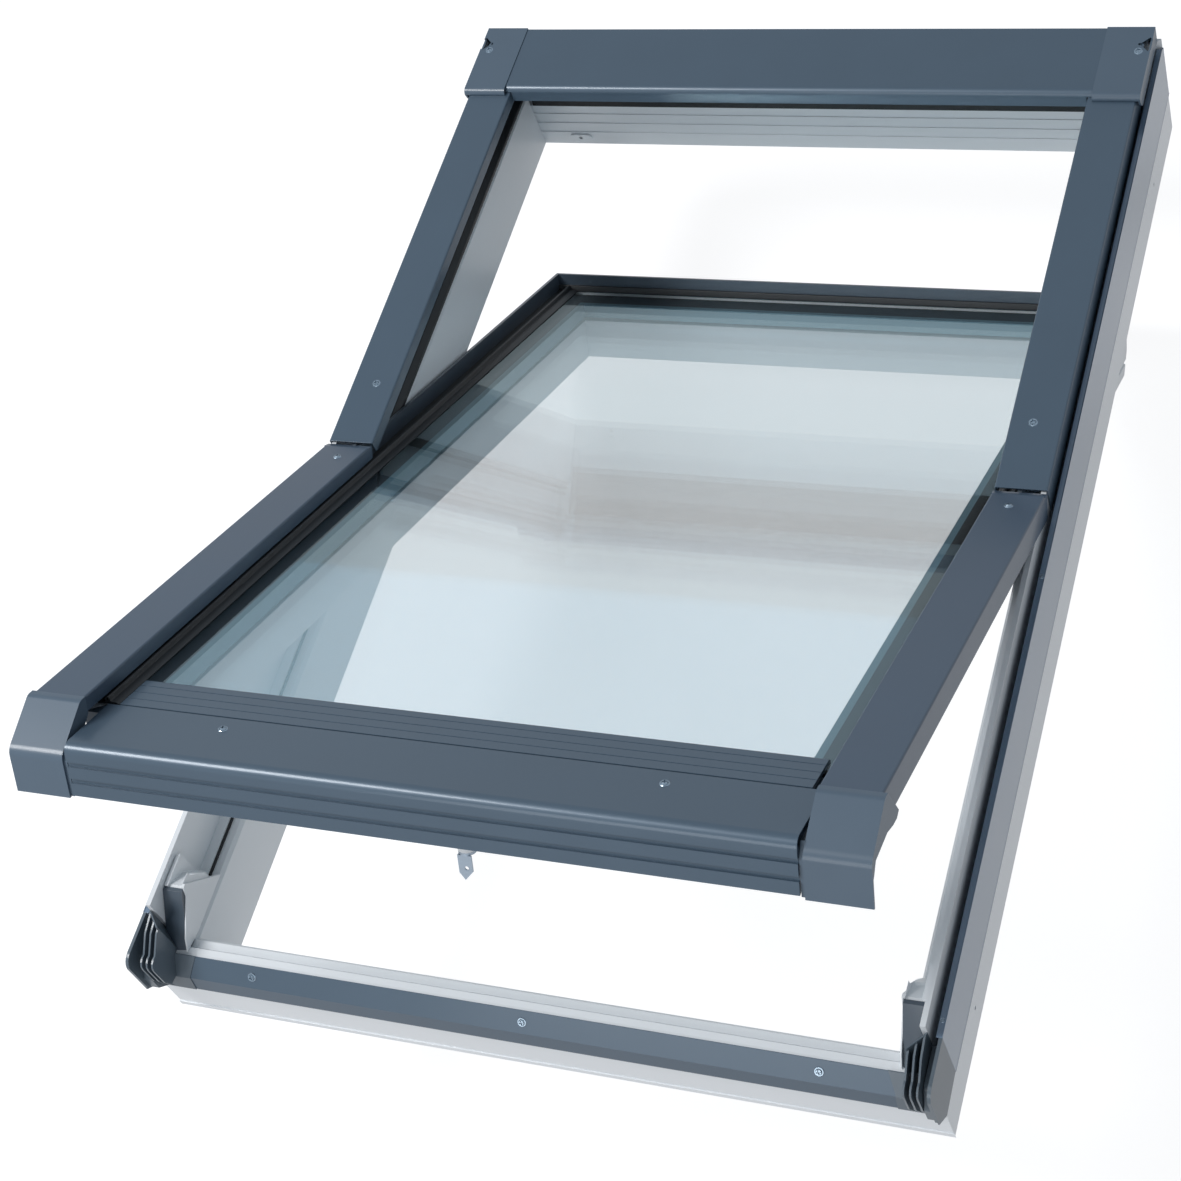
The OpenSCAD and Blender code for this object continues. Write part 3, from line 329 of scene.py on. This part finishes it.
# Painted reflection: the side cladding's slate-blue paint, lightened and made bluer to stand in for the bright
# surroundings that its side faces mirror.
CLADDING_PAINT_WITH_PAINTED_SHEEN = Finish(
    "cladding_paint", srgb(106, 126, 148), metallic=0.2, rough=(0.30, 0.36), coat=0.8,
    bump=0.03,
)
CAP = Finish(
    "cap_plastic", srgb(80, 97, 113), rough=(0.36, 0.42), coat=0.25, bump=0.04,
    grain=Grain.MOULDED,
)
GREY = Finish(
    "grey_plastic", srgb(86, 98, 108), rough=(0.34, 0.42), coat=0.3, bump=0.05,
    grain=Grain.MOULDED,
)
SLATE = Finish(
    "slate_plastic", srgb(66, 78, 90), rough=(0.30, 0.38), coat=0.4, bump=0.03,
    grain=Grain.MOULDED,
)
RUBBER = Finish("seal_rubber", srgb(20, 23, 26), rough=(0.42, 0.52), bump=0.06, grain=Grain.MOULDED)
SPACER = Finish(
    "spacer_metal", srgb(96, 128, 140), metallic=0.3, rough=(0.35, 0.45), grain=Grain.BRUSHED,
)
ZINC = Finish(
    "zinc_steel", srgb(178, 190, 202), metallic=0.8, rough=(0.25, 0.38), grain=Grain.BRUSHED,
)
SCREW = Finish(
    "screw_steel", srgb(150, 164, 176), metallic=0.85, rough=(0.18, 0.26), grain=Grain.PAINT,
)
PANE = GlassFinish("pane_glass", (0.64, 0.82, 0.88), cover=0.20)


NODE_FINISH: dict[str, Finish | GlassFinish] = {
    "frame_rail": WHITE,
    # Side cladding: its paint colour carries a painted reflection. The bottom cladding keeps the plain cover
    # paint.
    "side_cladding": CLADDING_PAINT_WITH_PAINTED_SHEEN,
    "bottom_cladding": PAINT,
    "upper_seal": RUBBER,
    "ledge_seal": RUBBER,
    "upper_cover": PAINT,
    "frame_cover_clips": GREY,
    "hood_cap": CAP,
    "hood_screws": SCREW,
    "hood": PAINT,
    "corner_baffle": GREY,
    "ramp_block": SLATE,
    "guide": WHITE,
    "hinge_track": ZINC,
    "keeper": ZINC,
    "top_bolt_bush": WHITE,
    "cover_screws": SCREW,
    "cladding_screws": SCREW,
    "track_screws": ZINC,
    "sash_stile": WHITE,
    "sash_top_rail": WHITE,
    "sash_bottom_rail": SLATE,
    "sash_rim": SLATE,
    "outer_pane": PANE,
    "inner_pane": PANE,
    "spacer_bar": SPACER,
    "edge_seal": RUBBER,
    "side_gasket": RUBBER,
    "top_gasket": RUBBER,
    "sash_cover_clips": GREY,
    # Sash cover: the cover paint with painted shade for its tilt.
    "sash_cover": SASH_PAINT_PAINTED_SHADE,
    "glazing_strip": PAINT,
    "sash_cap": PAINT,
    "corner_cap": CAP,
    "hinge_shoe": ZINC,
    "sash_screws": SCREW,
    "lock_case": WHITE,
    "lock_spindle": ZINC,
    "handle_lever": WHITE,
    "latch_tongue": ZINC,
}


def finish_for(node: str) -> Finish | GlassFinish:
    """The finish of a CAD node.

    Args:
        node: The node's name.

    Returns:
        The finish under the longest key that the name starts with.
    """
    keys = [k for k in NODE_FINISH if node.startswith(k)]
    return NODE_FINISH[max(keys, key=len)]


class Frame:
    """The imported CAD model: its nodes, bodies and material slots."""

    def __init__(self, loaded: dict) -> None:
        self.nodes: dict[str, bpy.types.Object] = loaded["nodes"]
        record = loaded["record"]
        self.body_of = {n: body for body, names in record["behaviour"]["bodies"].items() for n in names}
        self.slot_of = {part["node"]: part["material_slot"] for part in record["subparts"]}

    def adopt(self, piece: bpy.types.Object, node: str, *others: str) -> bpy.types.Object:
        """Let a piece stand for one or more CAD nodes of one body.

        Args:
            piece: The new object.
            node: The node that gives the body.
            others: Further nodes that the piece replaces.

        Returns:
            The piece.
        """
        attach(piece, self.body_of[node])
        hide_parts(node, *others)
        return piece

    def attach(self, piece: bpy.types.Object, like: str) -> bpy.types.Object:
        """Let an added piece ride with a node.

        Args:
            piece: The new object.
            like: The node that it moves with.

        Returns:
            The piece.
        """
        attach(piece, self.body_of[like])
        return piece


def new_object(name: str, mesh: bpy.types.Mesh) -> bpy.types.Object:
    """Link a new object at the origin."""
    obj = bpy.data.objects.new(name, mesh)
    bpy.context.scene.collection.objects.link(obj)
    return obj


def baked(obj: bpy.types.Object, name: str) -> bpy.types.Object:
    """Turn an object with modifiers into a plain mesh object.

    Args:
        obj: The object whose modifiers are evaluated. It is removed.
        name: The new object's name.

    Returns:
        The plain object.
    """
    depsgraph = bpy.context.evaluated_depsgraph_get()
    mesh = bpy.data.meshes.new_from_object(obj.evaluated_get(depsgraph))
    old = obj.data
    bpy.data.objects.remove(obj)
    if old.users == 0:
        bpy.data.meshes.remove(old)
    result = new_object(name, mesh)
    mesh.name = name
    return result


# --------------------------------------------------------------------------
# Pieces with softened edges
# --------------------------------------------------------------------------


@dataclass(frozen=True)
class EdgeSoftener:
    """Makes a piece from a CAD node, with a small round on every sharp edge."""

    frame: Frame
    weld: float = 0.00001
    crease: float = 32.0
    flat_above: float = 20.0
    segments: int = 2

    def soften(self, node: str, width: float) -> bpy.types.Object:
        """Round a node's sharp edges and let the result stand for it.

        Args:
            node: The CAD node.
            width: Width of the round, in millimetres.

        Returns:
            The piece.
        """
        mesh = self.frame.nodes[node].data.copy()
        edit = bmesh.new()
        edit.from_mesh(mesh)
        bmesh.ops.remove_doubles(edit, verts=edit.verts, dist=self.weld)
        bmesh.ops.dissolve_limit(edit, angle_limit=math.radians(0.5), verts=edit.verts, edges=edit.edges)
        for face in edit.faces:
            face.smooth = True
        edit.to_mesh(mesh)
        edit.free()
        obj = new_object(node + "_body", mesh)
        bevel = obj.modifiers.new("rounds", "BEVEL")
        bevel.width, bevel.segments = width * MM, self.segments
        bevel.limit_method, bevel.angle_limit = "ANGLE", math.radians(self.crease)
        bevel.use_clamp_overlap = True
        rounded = baked(obj, node + "_rounded")
        rounded.data.set_sharp_from_angle(angle=math.radians(self.flat_above))
        even = rounded.modifiers.new("even_shading", "WEIGHTED_NORMAL")
        even.keep_sharp, even.weight = True, 100
        piece = baked(rounded, node + "_shell")
        piece.data.materials.clear()
        piece.data.materials.append(finish_for(node).material())
        return self.frame.adopt(piece, node)


class Dresser:
    """Gives every CAD node its finish, and rounds the edges of those that show."""

    ROUNDS: dict[str, float] = {
        "frame_rail": 0.8, "side_cladding": 0.35, "bottom_cladding": 0.4,
        "upper_cover": 0.4, "sash_cover_": 0.25,
        "hood": 0.45, "hood_cap": 0.2, "corner_baffle": 0.15, "ramp_block": 0.5, "guide": 0.5, "keeper": 0.3,
        "sash_stile": 0.9, "sash_top_rail": 0.9, "sash_bottom_rail": 0.8, "sash_cap": 0.5,
        "corner_cap": 0.35, "glazing_strip": 0.3, "side_gasket": 0.3, "top_gasket": 0.4, "upper_seal": 0.6,
        "handle_lever": 1.2, "lock_case": 1.0, "latch_tongue": 0.3, "hinge_track": 0.4, "top_bolt_bush": 0.4,
    }
    PLAIN = ("hood_screws", "sash_cover_clips", "sash_rim")

    def __init__(self, frame: Frame) -> None:
        self.frame = frame

    def dress(self) -> None:
        """Assign materials to all nodes and make the softened pieces."""
        softener = EdgeSoftener(self.frame)
        for name, obj in sorted(self.frame.nodes.items()):
            obj.data.materials.clear()
            obj.data.materials.append(finish_for(name).material())
            keys = [k for k in self.ROUNDS if name.startswith(k)]
            if keys and name not in self.PLAIN:
                piece = softener.soften(name, self.ROUNDS[max(keys, key=len)])
                LOG.info("%s: %d faces", piece.name, len(piece.data.polygons))


# --------------------------------------------------------------------------
# Screws
# --------------------------------------------------------------------------


@dataclass(frozen=True)
class ScrewSeat:
    """Where a screw head sits, in pivot-relative millimetres, with its axis and its size."""

    place: Point
    axis: Point = (0.0, 0.0, 1.0)
    size: float = 1.0


@dataclass(frozen=True)
class ScrewHeads:
    """Round screw heads with a collar and a cross recess, made by Geometry Nodes."""

    head_r: float = 3.5
    head_h: float = 1.9
    collar_r: float = 4.6
    collar_h: float = 0.55
    slot_len: float = 4.4
    slot_w: float = 1.2
    slot_deep: float = 1.5
    head_taper: float = 0.72
    collar_taper: float = 0.9
    slot_turn: float = 0.35
    sides: int = 28

    def tree(self, material: bpy.types.Material) -> bpy.types.NodeTree:
        """Node tree that puts a head on every point of the input mesh.

        Args:
            material: The heads' material.

        Returns:
            The tree, with named inputs for the sizes in metres.
        """
        tree = bpy.data.node_groups.new("screw_heads", "GeometryNodeTree")
        face = tree.interface
        face.new_socket("Geometry", in_out="INPUT", socket_type="NodeSocketGeometry")
        for label in ("Head Radius", "Head Height", "Collar Radius", "Collar Height",
                      "Slot Length", "Slot Width", "Slot Depth"):
            face.new_socket(label, in_out="INPUT", socket_type="NodeSocketFloat")
        face.new_socket("Geometry", in_out="OUTPUT", socket_type="NodeSocketGeometry")
        n, link = tree.nodes, tree.links.new
        gin, gout = n.new("NodeGroupInput"), n.new("NodeGroupOutput")

        def cone(top_share: float, radius: str, height: str) -> bpy.types.Node:
            node, top = n.new("GeometryNodeMeshCone"), n.new("ShaderNodeMath")
            node.inputs["Vertices"].default_value = self.sides
            top.operation = "MULTIPLY"
            top.inputs[1].default_value = top_share
            link(gin.outputs[radius], node.inputs["Radius Bottom"])
            link(gin.outputs[radius], top.inputs[0])
            link(top.outputs[0], node.inputs["Radius Top"])
            link(gin.outputs[height], node.inputs["Depth"])
            return node

        def slot(turn: float) -> bpy.types.Node:
            cube, size = n.new("GeometryNodeMeshCube"), n.new("ShaderNodeCombineXYZ")
            move, drop = n.new("GeometryNodeTransform"), n.new("ShaderNodeCombineXYZ")
            link(gin.outputs["Slot Length"], size.inputs["X"])
            link(gin.outputs["Slot Width"], size.inputs["Y"])
            double = n.new("ShaderNodeMath")
            double.operation = "MULTIPLY"
            double.inputs[1].default_value = 2.0
            link(gin.outputs["Slot Depth"], double.inputs[0])
            link(double.outputs[0], size.inputs["Z"])
            link(size.outputs[0], cube.inputs["Size"])
            link(gin.outputs["Head Height"], drop.inputs["Z"])
            link(cube.outputs["Mesh"], move.inputs["Geometry"])
            link(drop.outputs[0], move.inputs["Translation"])
            move.inputs["Rotation"].default_value = (0.0, 0.0, turn)
            return move

        head = cone(self.head_taper, "Head Radius", "Head Height")
        collar = cone(self.collar_taper, "Collar Radius", "Collar Height")
        cut = n.new("GeometryNodeMeshBoolean")
        cut.operation = "DIFFERENCE"
        link(head.outputs["Mesh"], cut.inputs["Mesh 1"])
        for turn in (self.slot_turn, self.slot_turn + math.pi / 2):
            link(slot(turn).outputs["Geometry"], cut.inputs["Mesh 2"])
        join, flat = n.new("GeometryNodeJoinGeometry"), n.new("GeometryNodeSetShadeSmooth")
        flat.inputs["Shade Smooth"].default_value = False
        link(cut.outputs["Mesh"], join.inputs["Geometry"])
        link(collar.outputs["Mesh"], join.inputs["Geometry"])
        link(join.outputs["Geometry"], flat.inputs["Geometry"])
        place, align = n.new("GeometryNodeInstanceOnPoints"), n.new("FunctionNodeAlignRotationToVector")
        axis, size = n.new("GeometryNodeInputNamedAttribute"), n.new("GeometryNodeInputNamedAttribute")
        axis.data_type, size.data_type = "FLOAT_VECTOR", "FLOAT"
        axis.inputs["Name"].default_value, size.inputs["Name"].default_value = "axis", "size"
        align.axis = "Z"
        link(axis.outputs["Attribute"], align.inputs["Vector"])
        link(gin.outputs["Geometry"], place.inputs["Points"])
        link(flat.outputs["Geometry"], place.inputs["Instance"])
        link(align.outputs["Rotation"], place.inputs["Rotation"])
        link(size.outputs["Attribute"], place.inputs["Scale"])
        real, paint = n.new("GeometryNodeRealizeInstances"), n.new("GeometryNodeSetMaterial")
        paint.inputs["Material"].default_value = material
        link(place.outputs["Instances"], real.inputs["Geometry"])
        link(real.outputs["Geometry"], paint.inputs["Geometry"])
        link(paint.outputs["Geometry"], gout.inputs["Geometry"])
        return tree

    def make(self, name: str, seats: list[ScrewSeat], matrix: Matrix, finish: Finish) -> bpy.types.Object:
        """Make one mesh of screw heads.

        Args:
            name: The piece's name.
            seats: Where the heads sit.
            matrix: From pivot-relative millimetres to the row frame.
            finish: The heads' finish.

        Returns:
            The plain mesh object.
        """
        mesh = bpy.data.meshes.new(name)
        mesh.from_pydata([matrix @ Vector(s.place) for s in seats], [], [])
        turn = matrix.to_quaternion()
        mesh.attributes.new("axis", "FLOAT_VECTOR", "POINT")
        mesh.attributes.new("size", "FLOAT", "POINT")
        axis, size = mesh.attributes["axis"], mesh.attributes["size"]
        for i, seat in enumerate(seats):
            axis.data[i].vector = (turn @ Vector(seat.axis)).normalized()
            size.data[i].value = seat.size
        obj = new_object(name + "_points", mesh)
        modifier = obj.modifiers.new("heads", "NODES")
        modifier.node_group = self.tree(finish.material())
        values = {"Head Radius": self.head_r, "Head Height": self.head_h, "Collar Radius": self.collar_r,
                  "Collar Height": self.collar_h, "Slot Length": self.slot_len, "Slot Width": self.slot_w,
                  "Slot Depth": self.slot_deep}
        for item in modifier.node_group.interface.items_tree:
            if item.in_out == "INPUT" and item.name in values:
                modifier[item.identifier] = values[item.name] * MM
        return baked(obj, name)


@dataclass(frozen=True)
class Fasteners:
    """All visible screws, one mesh for each CAD group, placed in pivot-relative millimetres."""

    frame: Frame
    heads: ScrewHeads = ScrewHeads()
    cover_x: float = 352.0
    cover_y: float = 80.0
    sash_y: float = -34.0
    sheet_x: float = 280.0
    sheet_place: tuple[float, float] = (-570.4, -69.1)
    sheet_slope: Point = (0.0, -16.0, 15.0)
    hood_place: Point = (373.0, 560.0, 7.0)
    cap_place: Point = (200.0, -543.0, -20.0)
    lip_x: float = 386.8
    lip_z: float = -23.0
    lip_y: tuple[float, float] = (-78.0, -525.0)
    lip_size: float = 0.55

    @staticmethod
    def pair(x: float, y: float, z: float) -> list[ScrewSeat]:
        """Seats at both sides of the window."""
        return [ScrewSeat((-x, y, z)), ScrewSeat((x, y, z))]

    def build(self) -> None:
        """Make the heads over each CAD screw group."""
        fixed, sash = LAYOUT.frame_matrix(), LAYOUT.sash_matrix()
        sheet = [
            ScrewSeat((i * self.sheet_x, *self.sheet_place), tuple(Vector(self.sheet_slope).normalized()))
            for i in (-1, 0, 1)
        ]
        groups = {
            "cover_screws": (fixed, self.pair(self.cover_x, self.cover_y, 0.0)),
            "cladding_screws": (fixed, sheet),
            "hood_screws": (fixed, self.pair(*self.hood_place)),
            "sash_screws": (sash, self.pair(self.cover_x, self.sash_y, 0.0) + self.pair(*self.cap_place)),
        }
        for node, (matrix, seats) in groups.items():
            piece = self.heads.make(node + "_heads", seats, matrix, SCREW)
            self.frame.adopt(piece, node)
            LOG.info("%s: %d seats", piece.name, len(seats))
        lip = [
            ScrewSeat((s * self.lip_x, y, self.lip_z), size=self.lip_size)
            for s in (-1, 1) for y in self.lip_y
        ]
        self.frame.attach(self.heads.make("lip_screws", lip, fixed, SCREW), "cladding_screws")


# --------------------------------------------------------------------------
# Studio
# --------------------------------------------------------------------------


@dataclass(frozen=True)
class Lamp:
    """One area light."""

    name: str
    place: Point
    aim: Point
    size: float
    power: float


@dataclass(frozen=True)
class StudioSpec:
    """Camera, floor and light settings."""

    camera: Point = (0.8581, -1.3007, 2.0198)
    aim: Point = (-0.0366, -0.162, 0.1475)
    up: Point = (0.0, 0.7071, 0.7071)
    lens: float = 74.59
    sensor: float = 36.0
    floor_drop: float = 0.02
    floor_half: float = 12.0
    floor_grey: Colour = (0.30, 0.30, 0.31)
    floor_glow: float = 0.86
    floor_bounce: float = 0.45
    ambient: Colour = (0.80, 0.90, 1.0)
    ambient_strength: float = 0.30
    gloss_strength: float = 0.75
    lamps: tuple[Lamp, ...] = (
        Lamp("key", (-2.6, -1.2, 4.2), (0.0, 0.0, 0.1), 1.6, 150.0),
        Lamp("front", (-0.6, -3.4, 1.6), (0.0, 0.0, 0.1), 1.6, 22.0),
    )


class Studio:
    """The camera, the floor and the lights."""

    def __init__(self, spec: StudioSpec) -> None:
        self.spec = spec

    def build(self, low_z: float) -> None:
        """Make everything around the object.

        Args:
            low_z: Height of the object's lowest point.
        """
        bpy.context.scene.view_settings.view_transform = "Standard"
        self._camera()
        self._floor(low_z - self.spec.floor_drop)
        self._world()
        for lamp in self.spec.lamps:
            self._lamp(lamp)

    def _camera(self) -> None:
        """Make the camera."""
        data = bpy.data.cameras.new("camera")
        data.lens, data.sensor_width = self.spec.lens, self.spec.sensor
        data.clip_start, data.clip_end = 0.05, 50.0
        cam = bpy.data.objects.new("camera", data)
        bpy.context.scene.collection.objects.link(cam)
        eye, aim, up = Vector(self.spec.camera), Vector(self.spec.aim), Vector(self.spec.up)
        back = (eye - aim).normalized()
        right = up.cross(back).normalized()
        true_up = back.cross(right)
        cam.matrix_world = Matrix.Translation(eye) @ Matrix((right, true_up, back)).transposed().to_4x4()
        bpy.context.scene.camera = cam

    def _floor(self, z: float) -> None:
        """Make the pale floor, which glows a little so that it stays even."""
        mesh = bpy.data.meshes.new("floor")
        s = self.spec.floor_half
        mesh.from_pydata([(-s, -s, z), (s, -s, z), (s, s, z), (-s, s, z)], [], [(0, 1, 2, 3)])
        mat = bpy.data.materials.new("floor_paper")
        mat.use_nodes = True
        shader = mat.node_tree.nodes["Principled BSDF"]
        shader.inputs["Base Color"].default_value = (*self.spec.floor_grey, 1.0)
        shader.inputs["Roughness"].default_value = 0.9
        shader.inputs["Specular IOR Level"].default_value = 0.1
        shader.inputs["Emission Color"].default_value = (1.0, 1.0, 1.0, 1.0)
        ray, glow = mat.node_tree.nodes.new("ShaderNodeLightPath"), mat.node_tree.nodes.new("ShaderNodeMapRange")
        glow.inputs["To Min"].default_value = self.spec.floor_bounce
        glow.inputs["To Max"].default_value = self.spec.floor_glow
        mat.node_tree.links.new(ray.outputs["Is Camera Ray"], glow.inputs["Value"])
        mat.node_tree.links.new(glow.outputs["Result"], shader.inputs["Emission Strength"])
        mesh.materials.append(mat)
        new_object("floor", mesh)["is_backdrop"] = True

    def _world(self) -> None:
        """Make the soft surroundings: white to look at, dimmer as light."""
        world = bpy.data.worlds.new("studio")
        world.use_nodes = True
        nodes, link = world.node_tree.nodes, world.node_tree.links.new
        light = nodes["Background"]
        light.inputs["Color"].default_value = (*self.spec.ambient, 1.0)
        ray, level = nodes.new("ShaderNodeLightPath"), nodes.new("ShaderNodeMapRange")
        level.inputs["To Min"].default_value = self.spec.ambient_strength
        level.inputs["To Max"].default_value = self.spec.gloss_strength
        link(ray.outputs["Is Glossy Ray"], level.inputs["Value"])
        link(level.outputs["Result"], light.inputs["Strength"])
        seen, mix = nodes.new("ShaderNodeBackground"), nodes.new("ShaderNodeMixShader")
        link(ray.outputs["Is Camera Ray"], mix.inputs[0])
        link(light.outputs[0], mix.inputs[1])
        link(seen.outputs[0], mix.inputs[2])
        seen.inputs["Color"].default_value = (1.0, 1.0, 1.0, 1.0)
        link(mix.outputs[0], nodes["World Output"].inputs["Surface"])
        bpy.context.scene.world = world

    def _lamp(self, spec: Lamp) -> None:
        """Make one area light."""
        data = bpy.data.lights.new(spec.name, "AREA")
        data.shape, data.size, data.energy = "SQUARE", spec.size, spec.power
        lamp = bpy.data.objects.new(spec.name, data)
        place, aim = Vector(spec.place), Vector(spec.aim)
        lamp.location = place
        lamp.rotation_mode = "QUATERNION"
        lamp.rotation_quaternion = (aim - place).to_track_quat("-Z", "Y")
        bpy.context.scene.collection.objects.link(lamp)


# --------------------------------------------------------------------------
# Main
# --------------------------------------------------------------------------


def main() -> None:
    """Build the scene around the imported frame."""
    logging.basicConfig(level=logging.INFO)
    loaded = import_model()
    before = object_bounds()
    frame = Frame(loaded)
    Studio(StudioSpec()).build(before[0].z)
    Dresser(frame).dress()
    Fasteners(frame).build()
    LOG.info("built on %d nodes", len(frame.nodes))


if __name__ == "__main__":
    main()
